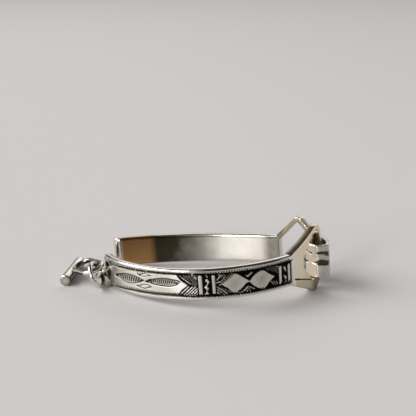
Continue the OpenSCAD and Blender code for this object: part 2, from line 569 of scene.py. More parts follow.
@dataclass
class Plate:
    """A bent plate with rounded edges, drawn flat and wrapped onto a plan."""

    name: str
    plan: FrontPlan | RearPlan
    rim: np.ndarray
    holes: list[np.ndarray]
    thickness: float = 2.3
    long_edge: float = 0.72
    thin_edge: float = 0.28
    hole_edge: float = 0.2
    end_edge: float = 0.3
    steps: int = 5
    clear: float = 0.05
    # Keeps the faces inside the solid
    inset: float = 0.01
    # Blackening covers the walls of a cut too
    blackened: float = 1.5

    def edge(self, loop: np.ndarray) -> np.ndarray:
        """Rounding of the rim: full along the band, small at its ends.

        Args:
            loop: The rim, laid flat.

        Returns:
            A radius for each point.
        """
        s = loop[:, 0]
        start = ramp(s, self.plan.left, 2.2)
        stop = ramp(s, self.plan.flare_at - 2.5, 3.5)
        along = self.end_edge + (self.long_edge - self.end_edge) * start
        return along + (self.thin_edge - along) * stop

    def fill(self, loops: list[np.ndarray], points: np.ndarray) -> tuple[np.ndarray, np.ndarray]:
        """Triangulates one face.

        Args:
            loops: Loops that bound it.
            points: Points wanted inside it.

        Returns:
            The points that were kept, and triangles over the loops' points and then those.
        """
        points = points[inside(points, loops)]
        gap = np.full(len(points), FAR)
        for loop in loops:
            for start in range(0, len(points), CHUNK):
                part = slice(start, start + CHUNK)
                gap[part] = np.minimum(gap[part], distance(points[part], closed(loop)))
        points = points[gap > self.clear]
        everything = np.vstack([*loops, points])
        edges, start = [], 0
        for loop in loops:
            n = len(loop)
            edges += [(start + i, start + (i + 1) % n) for i in range(n)]
            start += n
        found = [Vector(p) for p in everything.tolist()]
        _, _, faces, origin, _, _ = delaunay_2d_cdt(found, edges, [], 0, 1e-6)
        back = np.array([ids[0] if ids else -1 for ids in origin])
        triangles = back[np.array([tuple(f) for f in faces])]
        triangles = triangles[(triangles >= 0).all(1)]
        return points, triangles[inside(everything[triangles].mean(1), loops)]

    def build(
        self,
        outer_points: np.ndarray,
        inner_points: np.ndarray,
        relief: "Engraving | None",
        wear_and_shade: Callable[[np.ndarray, np.ndarray], dict[str, np.ndarray]],
    ) -> bpy.types.Object:
        """Builds the plate.

        Args:
            outer_points: Points wanted on the outer face.
            inner_points: Points wanted on the inner face.
            relief: What is cut into the outer face, if anything.
            wear_and_shade: Tarnish, painted shade and painted reflections by name, at flat places
                and at depths.

        Returns:
            The plate's object.
        """
        loops = [self.rim] + self.holes
        radii = [self.edge(self.rim)] + [np.full(len(h), self.hole_edge) for h in self.holes]
        normals = [inward(loop) for loop in loops]
        angles = np.radians(np.linspace(0, 90, self.steps))
        flat, depth, faces = [], [], []
        starts: list[list[int]] = []
        count = 0
        rows = [(a, False) for a in angles] + [(a, True) for a in angles[::-1]]
        for loop, e, normal in zip(loops, radii, normals):
            mine = []
            for a, under in rows:
                flat.append(loop + normal * (e * (1 - math.sin(a)))[:, None])
                drop = e * (1 - math.cos(a))
                depth.append(self.thickness - drop if under else drop)
                mine.append(count)
                count += len(loop)
            starts.append(mine)
            n = len(loop)
            for up, low in zip(mine[:-1], mine[1:]):
                ring = [(i, (i + 1) % n) for i in range(n)]
                faces += [(low + i, low + j, up + j, up + i) for i, j in ring]
        cut, brushed = [np.zeros(count)], [np.zeros(count)]
        bounds = [loop + normal * e[:, None] for loop, normal, e in zip(loops, normals, radii)]
        for row, under, wanted in ((0, False, outer_points), (-1, True, inner_points)):
            added, triangles = self.fill(bounds, wanted)
            rings = [np.arange(m[row], m[row] + len(loop)) for m, loop in zip(starts, loops)]
            triangles = np.concatenate(rings + [np.arange(count, count + len(added))])[triangles]
            faces += (triangles[:, ::-1] if under else triangles).tolist()
            share = relief.share(added) if relief and not under else np.zeros(len(added))
            flat.append(added)
            sunk = share * relief.depth if relief else share
            depth.append(self.thickness * under + sunk)
            cut.append(np.clip(self.blackened * share, 0, 1))
            brushed.append(np.ones(len(added)))
            count += len(added)
        places, depths = np.vstack(flat), np.maximum(np.concatenate(depth), self.inset)
        points = self.plan.points(places[:, 0], places[:, 1], depths)
        unfolded = places + UV_DEPTH * depths[:, None]
        made = mesh_object(self.name, points, faces, stance(), unfolded)
        paint(made, "cut", np.concatenate(cut))
        paint(made, "brushed", np.concatenate(brushed))
        # Paints tarnish, painted shade and painted reflections
        for name, values in wear_and_shade(places, depths).items():
            paint(made, name, values)
        return made


class Mark(Enum):
    """What the graver does: whether it sinks the metal, and whether it works an area."""

    GROUND = (True, True)
    LEAVE = (False, True)
    STROKE = (True, False)
    LINE = (False, False)


@dataclass
class Engraving:
    """Cuts and lines left standing, in the order in which they were worked."""

    depth: float = 0.18
    soft: float = 0.06
    wander: float = 0.05
    work: list[tuple[Mark, np.ndarray, float, float]] = field(default_factory=list)

    def add(self, mark: Mark, *rows: Run) -> None:
        """Adds marks, each as its width, its strength and then places and heights in turn."""
        for width, strength, *run in rows:
            self.work.append((mark, np.array(run, float).reshape(-1, 2), width, strength))

    def share(self, points: np.ndarray) -> np.ndarray:
        """Depth share of each point, from 0 on the face to 1 at the bottom of a cut.

        Args:
            points: Places and heights.

        Returns:
            One number for each point.
        """
        level = np.zeros(len(points))
        # The graver wanders by up to 0.05 mm within half a millimetre
        s, z = points[:, 0], points[:, 1]
        swing_s = np.sin(11.3 * z + 4.1 * np.sin(2.9 * s))
        swing_z = np.sin(12.7 * s + 3.7 * np.sin(3.3 * z))
        points = points + self.wander * np.stack([swing_s, swing_z], 1)
        for mark, shape, width, strength in self.work:
            sinks, area = mark.value
            reach = width + 2 * self.soft
            low, high = shape.min(0) - reach, shape.max(0) + reach
            near = ((points >= low) & (points <= high)).all(1).nonzero()[0]
            if not len(near):
                continue
            here = points[near]
            if area:
                gap = distance(here, closed(shape))
                gap = np.where(inside(here, [shape]), gap, -gap)
            else:
                gap = width / 2 - distance(here, shape)
            amount = ramp(gap / self.soft / 2 + 0.5) * strength
            if sinks:
                level[near] = np.maximum(level[near], amount)
            else:
                level[near] = np.minimum(level[near], 1 - amount)
        return level


# Runs hold places along the band and heights in turn
UPPER_EDGE: Run = (
    -29.5, 7.2, -24, 7.25, -20, 7.45, -16, 7.55, -11, 7.68, -3, 7.68, 0, 7.66, 4, 7.6,
    8, 7.5, 12, 7.4, 18, 7.4, 24, 7.46, 30.6, 7.46,
)  # fmt: skip
LOWER_EDGE: Run = (
    -30, 0.75, -26, 0.9, -22, 1.12, -18, 1.4, -12, 1.46, -4, 1.52, -2, 1.42, 0, 1.28,
    4, 1.22, 8, 1.18, 12, 1.2, 16, 1.1, 22, 1.15, 30.2, 1.2,
)  # fmt: skip
FIRST_LEAF: Run = (
    -25.7, 4.25, -25, 4.65, -23, 5.2, -21.5, 5.6, -20, 5.85, -18.3, 5.88, -16.5, 5.76,
    -15, 5.42, -13.4, 4.95, -15, 4.2, -16, 3.9, -17.3, 3.5, -18.5, 3.3, -19.8, 3.22,
    -21, 3.4, -22.4, 3.6, -23.4, 3.85, -24.4, 4.12, -25.3, 3.95,
)  # fmt: skip
SECOND_LEAF: Run = (
    -12.95, 4.6, -12, 5.05, -11.3, 5.5, -10.3, 5.55, -9.4, 5.85, -7.5, 6.15, -5.8, 6.2,
    -4, 5.92, -2.7, 5.8, -2.15, 5.42, -2.9, 4.75, -3.5, 4.4, -4.6, 4.1, -6.2, 3.95,
    -8, 4.05, -9.5, 4.15, -10.6, 4.32, -11.6, 4.5,
)  # fmt: skip
NOTCHED_FIELD: Run = (
    -3.2, 7.55, -2.6, 6.62, -1.9, 5.82, -1.1, 5.18, -0.2, 4.6, -0.1, 4.42, -0.8, 3.86,
    -1.6, 3.3, -2.2, 2.6, -2.7, 1.92, -2.95, 1.4, 2.98, 1.2, 2.98, 7.7,
)  # fmt: skip
LEFT_LOZENGE: Run = (
    9.2, 4.35, 10.0, 3.7, 10.8, 3.2, 11.7, 2.32, 12.2, 1.72, 12.7, 1.52, 13.3, 1.6,
    13.7, 2.1, 14.25, 2.32, 15.0, 3.0, 15.8, 3.8, 16.4, 4.1, 16.95, 4.14, 17.0, 4.38,
    16.2, 4.95, 15.0, 5.88, 13.7, 6.8, 13.0, 7.05, 12.2, 7.0, 11.4, 6.2, 10.8, 5.6,
    10.2, 5.05, 9.7, 4.65,
)  # fmt: skip
RIGHT_LOZENGE: Run = (
    16.95, 4.14, 17.4, 3.62, 18.2, 2.8, 19.0, 2.2, 20.2, 1.52, 20.9, 1.5, 21.5, 1.6,
    22.1, 2.3, 22.9, 3.2, 23.8, 3.82, 24.5, 4.25, 24.4, 4.36, 23.4, 4.9, 22.6, 5.5,
    21.7, 6.3, 21.2, 6.7, 20.3, 6.76, 19.5, 6.45, 19.0, 6.2, 18.1, 5.5, 17.0, 4.38,
)  # fmt: skip


class Pattern(Engraving):
    """The front half's pattern, from the free end to the hinge."""

    def leaves(self) -> None:
        """Two pointed leaves with slanting veins, and marks at their ends."""
        for leaf, middle, step in ((FIRST_LEAF, 4.6, 0.84), (SECOND_LEAF, 5.05, 0.62)):
            low, high = min(leaf[::2]) + 0.9, max(leaf[::2]) - 0.7
            self.add(Mark.GROUND, (0, 0.18, *leaf))
            for s in np.arange(low, high, step):
                rise = 0.82 * math.sin(math.pi * (s - low) / (high - low))
                below = (0.36 * step, 0.9, s - 0.25, middle - rise, s, middle)
                above = (0.54 * step, 1, s, middle - 0.1, s + 0.35, middle + 0.2 + rise)
                self.add(Mark.STROKE, below, above)
            self.add(Mark.STROKE, (0.28, 1, *leaf, *leaf[:2]))
        self.add(
            Mark.STROKE,
            (0.55, 1, -12.6, 4.7, -11.2, 5.2, -10.9, 4.8),
            (0.4, 0.8, -25.5, 4.25, -24.6, 4.4),
            (0.18, 0.8, -22.8, 4.1, -22.2, 4.45, -21.7, 4.2, -22.1, 3.85),
        )

    def eyes(self) -> None:
        """Two small diamonds between the leaves."""
        self.add(
            Mark.STROKE,
            (0.42, 1, -15.5, 6.72, -15.0, 6.32, -14.6, 6.45),
            (0.32, 1, -14.9, 6.42, -14.2, 6.65, -13.5, 6.86),
            (0.18, 0.7, -13.5, 6.86, -12.6, 7.02, -11.8, 6.86, -11.5, 6.62),
            (0.2, 0.8, -14.9, 6.2, -14.1, 6.0, -13, 6.18, -12.1, 6.3, -11.6, 6.5),
            (0.42, 1, -11.65, 6.6, -11.3, 6.58),
            (0.26, 0.5, -11.2, 6.58, -10.6, 6.6),
            (0.52, 1, -16.05, 3.0, -15.95, 3.02),
            (0.26, 1, -15.8, 2.98, -15.2, 3.1, -14.5, 3.42, -13.8, 3.74, -12.9, 3.84),
            (0.26, 1, -12.9, 3.84, -12.0, 3.76, -11.5, 3.58, -11.15, 3.36),
            (0.26, 1, -15.5, 2.9, -14.8, 2.7, -14.1, 2.7, -13.6, 2.54, -12.8, 2.74),
            (0.26, 1, -12.8, 2.74, -12.2, 3.02, -11.2, 3.3),
            (0.44, 1, -11.35, 3.36, -11.2, 3.36),
        )

    def left_ground(self) -> None:
        """The notched dark field before the first panel, with lines left in it."""
        self.add(Mark.GROUND, (0, 1, *NOTCHED_FIELD))
        self.add(
            Mark.LINE,
            (0.24, 0.7, -2.2, 7.15, -1.7, 6.8, -1.3, 6.45),
            (0.3, 1, -1.3, 6.45, -0.4, 5.75, 0.45, 5.12, 0.85, 4.85),
        )
        for k in range(5):
            a, b = -1.3 + 0.78 * k, 7.45 - 0.03 * k
            self.add(Mark.LINE, (0.16, 0.75, a, b, a + 1.9, b - 1.75))
        self.add(
            Mark.LINE,
            (0.22, 0.75, 1.0, 7.35, 1.3, 7.25, 1.5, 7.55),
            (0.26, 1, 1.95, 6.72, 2.3, 6.45, 2.62, 6.32),
            (0.2, 0.75, 2.4, 7.2, 2.8, 7.1),
        )
        for k in range(4):
            top = (1.25 + 0.42 * k, 5.9 - 0.2 * k)
            self.add(Mark.LINE, (0.17, 0.65, *top, 1.5 + 0.38 * k, 4.4))
        self.add(Mark.GROUND, (0, 0.6, 0.3, 4.55, 0.65, 4.9, 1.1, 4.6, 0.8, 4.1, 0.4, 4.2))
        self.add(
            Mark.LINE,
            (0.25, 1, -2.35, 1.75, -1.15, 2.85, 0.2, 4.02),
            (0.25, 1, -1.6, 1.4, -0.1, 2.8, 1.2, 3.95),
            (0.25, 1, -0.75, 1.4, 0.8, 2.75, 2.1, 4.0),
            (0.25, 1, 0.1, 1.4, 1.4, 2.55, 2.6, 3.55),
            (0.25, 1, 0.95, 1.42, 2.6, 2.85),
            (0.25, 1, 1.8, 1.42, 2.6, 2.1),
        )

    def bars(self) -> None:
        """Two panels of a pair of bars with slanted diamonds between them."""
        self.add(Mark.GROUND, (0, 1, 2.6, 1.1, 8.0, 1.1, 8.0, 7.7, 2.6, 7.75))
        self.add(
            Mark.LEAVE,
            (0, 1, 3.0, 1.72, 3.95, 1.7, 3.98, 6.9, 3.75, 7.12, 3.1, 7.12, 2.96, 6.8),
            (0, 1, 6.74, 1.78, 7.56, 1.76, 7.6, 6.85, 7.4, 7.08, 6.85, 7.06, 6.7, 6.8),
            (0, 1, 4.86, 7.3, 5.3, 7.22, 5.62, 6.85, 5.42, 6.5, 5.25, 6.85),
            (0, 1, 4.84, 5.72, 5.35, 6.14, 6.04, 5.34, 5.52, 4.7),
            (0, 1, 5.05, 4.24, 4.5, 3.76, 5.25, 2.8, 5.76, 3.3),
            (0, 1, 5.14, 2.62, 5.88, 1.74, 4.46, 1.7),
        )
        self.add(Mark.LINE, (0.16, 0.9, 5.5, 4.75, 5.15, 4.2), (0.18, 0.9, 5.2, 2.95, 5.14, 2.5))
        self.add(Mark.GROUND, (0, 1, 25.5, 1.1, 30.45, 1.1, 30.45, 7.5, 25.5, 7.6))
        self.add(
            Mark.LEAVE,
            (0, 1, 25.95, 1.5, 26.76, 1.52, 26.88, 6.5, 26.7, 6.74, 26.2, 6.72, 26.0, 6.4),
            (0, 1, 29.12, 1.5, 29.86, 1.5, 29.9, 6.7, 29.5, 6.86, 28.95, 6.3, 29.12, 6.0),
            (0, 0.9, 27.5, 6.22, 28.15, 6.28, 28.5, 5.2, 28.3, 4.66, 27.95, 5.2),
            (0, 0.95, 27.5, 3.95, 27.95, 3.75, 28.52, 3.2, 28.2, 2.5, 27.95, 2.6, 27.75, 3.2),
            (0, 0.85, 28.25, 2.45, 28.48, 1.6, 27.6, 1.55),
        )

    def right_ground(self) -> None:
        """The dark field between the panels, with fine lines and small hooks left in it."""
        field_edge = (7.5, 1.1, 26.0, 1.1, 26.0, 7.55, 18, 7.45, 12, 7.45, 7.5, 7.6)
        self.add(Mark.GROUND, (0, 1, *field_edge))
        for k in range(3):
            a, b = 3.75 - 0.82 * k, (2.4 - 0.82 * k) / 0.86
            c, d = 9.1 + 0.95 * k, 3.1 - 0.15 * k
            self.add(
                Mark.LINE,
                (0.18, 0.85, 8.0 + 0.4 * k, 5.6 + 0.62 * k, 8.9 + 0.45 * k, 6.5 + 0.35 * k),
                (0.18, 0.75, 8.5 + 0.75 * k, 7.2 - 0.1 * k, 9.3 + 0.75 * k, 6.3 - 0.1 * k),
                (0.23, 1, 8.0, a, 8.0 + b, a - b * 0.86),
                (0.18, 0.75, c, 3.4 - 0.45 * k, c + 1.5 - 0.3 * k, 1.85),
                (0.17, 0.9, 23.3 + 0.8 * k, d, 24.2 + 0.6 * k, 1.8),
            )
        for k in range(5):
            a = 22.0 + 0.78 * k
            drop = min(2.4, 0.8 + 0.6 * k, 26.0 - a)
            self.add(Mark.LINE, (0.16, 0.7, a, 7.1, a + drop * 0.95, 7.1 - drop))
        self.add(
            Mark.LINE,
            (0.2, 1, 7.75, 4.9, 8.4, 4.95, 9.2, 5.32, 9.75, 5.9, 10.15, 6.25),
            (0.26, 0.85, 8.7, 4.2, 8.95, 4.35),
            (0.34, 1, 16.2, 6.0, 16.52, 5.76, 17.1, 6.2, 17.65, 6.62),
            (0.3, 1, 14.0, 1.45, 15.0, 1.72, 15.75, 2.22, 16.2, 2.68, 16.5, 2.84),
            (0.27, 0.9, 16.5, 2.84, 17.1, 2.62, 17.7, 2.25, 18.3, 1.9),
            (0.26, 1, 16.05, 1.5, 16.3, 1.82),
            (0.18, 0.95, 16.4, 2.2, 16.85, 2.1, 17.1, 1.65, 16.95, 1.25),
            (0.28, 0.95, 25.35, 7.0, 25.7, 6.8),
        )

    def lozenges(self) -> None:
        """Two plain lozenges joined at a point, the first with a toothed edge."""
        self.add(Mark.LEAVE, (0, 1, *LEFT_LOZENGE))
        for k in range(7):
            s, z = 9.35 + 0.48 * k, 4.72 + 0.36 * k
            self.add(Mark.LINE, (0.28, 1, s + 0.3, z - 0.25, s - 0.3, z + 0.43))
            outer = (0.42, 1, s - 0.12, z + 0.54, s + 0.2, z + 0.24)
            inner = (0.24, 1, s + 0.2, z + 0.24, s + 0.55, z - 0.06)
            self.add(Mark.STROKE, outer, inner)
        for s, z in ((13.95, 2.2), (14.55, 2.35)):
            self.add(Mark.STROKE, (0.28, 1, s, z, s + 0.12, z - 0.2))
        self.add(Mark.LEAVE, (0, 1, *RIGHT_LOZENGE))

    def borders(self) -> None:
        """Dark lines along both edges, with teeth that stand wider apart towards the free end."""
        for run in (UPPER_EDGE, LOWER_EDGE):
            path = np.array(run).reshape(-1, 2)
            for a, b in zip(path[:-1], path[1:]):
                width = 0.28 if b[0] < -23 else 0.46 if b[0] <= 0 else 0.34
                self.add(Mark.STROKE, (width, 1, *a, *b))
            s = -28.4
            while s < 30.2:
                step = 0.72 + 0.33 * float(ramp(-s, 8, 18))
                z = float(np.interp(s, *path.T))
                self.add(Mark.STROKE, (0.5 * step, 1, s - 0.16, z + 0.58, s + 0.16, z - 0.32))
                s += step
        for s, z in ((-16.2, 7.6), (-12.4, 7.7), (1.45, 7.65)):
            self.add(Mark.LINE, (0.26, 0.9, s - 0.12, z - 0.4, s + 0.15, z + 0.45))

    def lip_line(self, at: float) -> None:
        """The line cut across the flare above its lower rail."""
        below = (at + 2.6, 1.0, at + 4.8, 0.35, at + 8.5, -0.8)
        self.add(Mark.STROKE, (0.42, 1, at + 0.9, 1.5, at + 2.6, 1.0), (0.34, 0.7, *below))


@dataclass
class Half:
    """What both halves share: a band with a rounded free end and a flare."""

    plan: FrontPlan | RearPlan
    height: float = 8.9
    corner: float = 0.8
    flare_r: float = 2.2
    bar_w: float = 1.45
    # Depths between which a point is on an edge's wall
    wall: tuple[float, float] = (0.3, 2.1)

    def outline(self, flare: list[Disc]) -> np.ndarray:
        """Outline of the half, laid flat.

        Args:
            flare: Discs of the flare, in places from where it starts.

        Returns:
            Points, anticlockwise.
        """
        wide = belt([(-0.5, 0, 0), *flare, (-0.5, self.height, 0)])
        wide[:, 0] += self.plan.flare_at
        r, at = self.corner, self.plan.left + self.corner
        # The third disc only closes the belt, and its side is left out
        end = belt([(at, self.height - r, r), (at, r, r), (0, 4, 0.1)])
        end = end[end[:, 0] < at]
        return resampled(np.vstack([wide, [[at, self.height]], end, [[at, 0]]]))

    def window(self, discs: list[Disc]) -> np.ndarray:
        """The flare's window, laid flat.

        Args:
            discs: Its discs, in places from where the flare starts.

        Returns:
            Points, clockwise.
        """
        loop = belt(discs)
        loop[:, 0] += self.plan.flare_at
        return resampled(loop)[::-1]

    def on_wall(self, depth: np.ndarray) -> np.ndarray:
        """Tells which depths are on an edge's wall."""
        return (depth > self.wall[0]) & (depth < self.wall[1])


@dataclass
class FrontHalf(Half):
    """The engraved half, with the slot for the chain and the flared window for the strap."""

    plan: FrontPlan = field(default_factory=FrontPlan)
    slot_w: float = 2.8
    slot_h: float = 5.4
    slot_in: float = 2.35
    crest: float = 14.5
    crest_r: float = 2.7
    tip_at: float = 9.6
    crest_at: float = 11.9
    window_floor: float = -1.0
    tip_z: float = -4.37
    pattern: Run = (-27.0, 30.7, 0.8, 8.0)
    lip: Run = (31.2, 42.6, -2.6, 2.2)
    # Space between points in the pattern, along the lip's line and elsewhere
    pattern_step: float = 0.088
    lip_step: float = 0.11
    step: float = 0.5
    # Line across the flare, in places from where it starts, below which its foot is dark
    foot_at: Run = (0.9, 2.6, 4.8, 8.5, 13)
    foot_z: Run = (1.5, 1.0, 0.35, -0.8, -0.2)
    # Tarnish with painted shade on the inner face, and a painted warm reflection on the flare
    inner_tarnish_and_shade: float = 0.55
    flare_painted_reflection: float = 0.45

    def rim(self) -> np.ndarray:
        """Outline of the half, laid flat.

        Returns:
            Points, anticlockwise.
        """
        r = self.flare_r
        end, top = self.plan.flare_l - r, self.crest - self.crest_r
        tip, crest = (self.tip_at, self.tip_z + r, r), (self.crest_at, top, self.crest_r)
        return self.outline([tip, (end, 1.6, r), (end, 7.4, r), crest])

    def holes(self) -> list[np.ndarray]:
        """The slot and the window, laid flat.

        Returns:
            Two loops, clockwise.
        """
        at, r = self.plan.left + self.slot_in, self.slot_w / 2
        reach = self.slot_h / 2 - r
        slot = belt([(at, self.height / 2 - reach, r), (at, self.height / 2 + reach, r)], 18)
        side = self.plan.flare_l - self.bar_w - 0.9
        foot = [(9.0, self.window_floor + 0.6, 0.6), (side, self.window_floor + 0.9, 0.9)]
        head = [(side, 9.0, 0.9), (self.crest_at, 11.8, 1.2), (10.3, 11.4, 1.2)]
        return [
            resampled(slot)[::-1],
            self.window(foot + head + [(5.6, 6.6, 0.8), (5.4, 4.2, 0.7)]),
        ]

    def build(self) -> bpy.types.Object:
        """Builds the half with its engraving.

        Returns:
            The half's object.
        """
        plate = Plate("front_half", self.plan, self.rim(), self.holes())
        coarse = grid(self.plan.left, self.plan.flare_at + 16, -5, 15, self.step)
        outer = coarse
        fine = []
        fields = ((self.pattern, self.pattern_step), (self.lip, self.lip_step))
        for (low_s, high_s, low_z, high_z), step in fields:
            low, high = np.array([low_s, low_z]) - 0.2, np.array([high_s, high_z]) + 0.2
            outer = outer[~((outer > low) & (outer < high)).all(1)]
            fine.append(grid(low_s, high_s, low_z, high_z, step))
        return plate.build(np.vstack(fine + [outer]), coarse, self.engraving(), self.wear_and_shade)

    def wear_and_shade(self, flat: np.ndarray, depth: np.ndarray) -> dict[str, np.ndarray]:
        """Blackening haze, a darker free end, tarnish and painted shade inside, and on the flare
        painted shade and a painted warm reflection.

        Args:
            flat: Places and heights.
            depth: Depths below the outer face.

        Returns:
            The painted values by name.
        """
        s, z = flat.T
        u = s - self.plan.flare_at
        haze_and_shade = 0.12 * ramp(s, -1, 14) * (1 - ramp(s, 29.5, 1.5))
        haze_and_shade += 0.3 * (1 - ramp(s, -29.4, 1.6)) + 0.06 * (1 - ramp(s, -3, 4))
        for middle in (13.2, 20.6):
            haze_and_shade += 0.19 * np.exp(-(((s - middle) / 1.8) ** 2) - ((z - 4.2) / 1.5) ** 2)
        # Painted shade on the flare's foot below the cut line, and a painted dark reflection on
        # the walls of its upper edge
        foot = ramp(np.interp(u, self.foot_at, self.foot_z) - z, 0, 0.4) * ramp(u, 0.9, 0.5)
        haze_and_shade += foot * (0.3 + 0.5 * ramp(u, 7, 3))
        haze_and_shade += np.where(self.on_wall(depth) & (u > 0.5) & (z > 9), 0.7, 0)
        tarnish = np.where(depth > 1.5, self.inner_tarnish_and_shade, haze_and_shade)
        return {"tarnish": tarnish, "film": self.flare_painted_reflection * ramp(s, 31, 2)}

    def engraving(self) -> Engraving:
        """The pattern, with each field over the ones before it.

        Returns:
            What is cut into the outer face.
        """
        work = Pattern()
        work.leaves()
        work.eyes()
        work.left_ground()
        work.bars()
        work.right_ground()
        work.lozenges()
        work.borders()
        work.lip_line(self.plan.flare_at)
        return work

    def dress(self, made: bpy.types.Object) -> None:
        """Finishes the half and sets it on its body.

        Args:
            made: The half's object.
        """
        # Blackened and then rubbed bright, so the pattern stands dark in a soft mirror
        made.data.materials.append(Silver("engraved_sterling", clouding=0.25).build())
        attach(made, "front")
        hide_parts("front_band")


@dataclass
class RearHalf(Half):
    """The plain half, with its open diamond frame and slanted free end."""

    plan: RearPlan = field(default_factory=RearPlan)
    crest: float = 15.0
    crest_at: float = 6.6
    tip_r: float = 1.6
    tip_z: float = -4.14
    step: float = 0.4
    outer_tarnish: float = 0.15
    frame_painted_reflection: float = 0.4
    # Painted shade and dark painted reflections at places along the inner face, left clear where
    # the highlight falls
    painted_shade_at: Run = (-20, -17.5, -12, -5, 3, 15.5, 18.5, 21.5, 24)
    painted_shade: Run = (0, 1.1, 0.98, 0.6, 0, 0, 0.7, 0.7, 0)

    def build(self) -> bpy.types.Object:
        """Builds the half.

        Returns:
            The half's object.
        """
        r, tip_r, mid = self.flare_r, self.tip_r, self.crest_at
        end = self.plan.flare_l - r
        tip, crest = (mid, self.tip_z + tip_r, tip_r), (mid, self.crest - tip_r, tip_r)
        rim = self.outline([tip, (end, 0.4, r), (end, 9.0, r), crest])
        side, mid = self.plan.flare_l - self.bar_w - 0.8, self.crest_at - 0.2
        foot = [(0.9, 1.5, 0.5), (mid, self.tip_z + 2.1, 0.7), (side, 0.2, 0.8)]
        head = [(side, 9.4, 0.8), (mid, self.crest - 2.3, 0.7), (0.9, 7.4, 0.5)]
        plate = Plate("rear_half", self.plan, rim, [self.window(foot + head)], end_edge=0.95)
        points = grid(self.plan.left, self.plan.flare_at + 12, -5, 16, self.step)
        return plate.build(points, points, None, self.wear_and_shade)

    def wear_and_shade(self, flat: np.ndarray, depth: np.ndarray) -> dict[str, np.ndarray]:
        """Light tarnish outside with painted shade on the frame's walls; inside, painted
        reflections and painted shade, clear where the highlight falls.

        Args:
            flat: Places and heights.
            depth: Depths below the outer face.

        Returns:
            The painted values by name.
        """
        s = flat[:, 0]
        frame = ramp(s, self.plan.flare_at + 0.3, 0.6)
        # Painted brown reflection on the curled free end, and a painted reflection on the frame
        film = ramp(s, self.plan.left + 1.3) * (1 - ramp(s, -19, 3)) + self.frame_painted_reflection * frame
        painted_shade = np.interp(s, self.painted_shade_at, self.painted_shade) + 0.2 * frame
        inner, wall = depth > 1.2, self.on_wall(depth)
        # Light tarnish outside, with painted shade on the frame's walls
        outside = self.outer_tarnish + np.where(wall, 0.5 * frame, 0)
        return {
            "tarnish": np.where(inner & ~wall, painted_shade, outside),
            "film": np.where(inner, film, 0.0),
        }

    def dress(self, made: bpy.types.Object) -> None:
        """Finishes the half and sets it on its body.

        Args:
            made: The half's object.
        """
        # Rubbed sheet; its golden brown tint is a painted reflection
        finish = Silver("plain_sterling", reflection_tint="#c99c68", brown="#574e40", clouding=0.12)
        made.data.materials.append(finish.build())
        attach(made, "rear")
        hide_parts("rear_band")


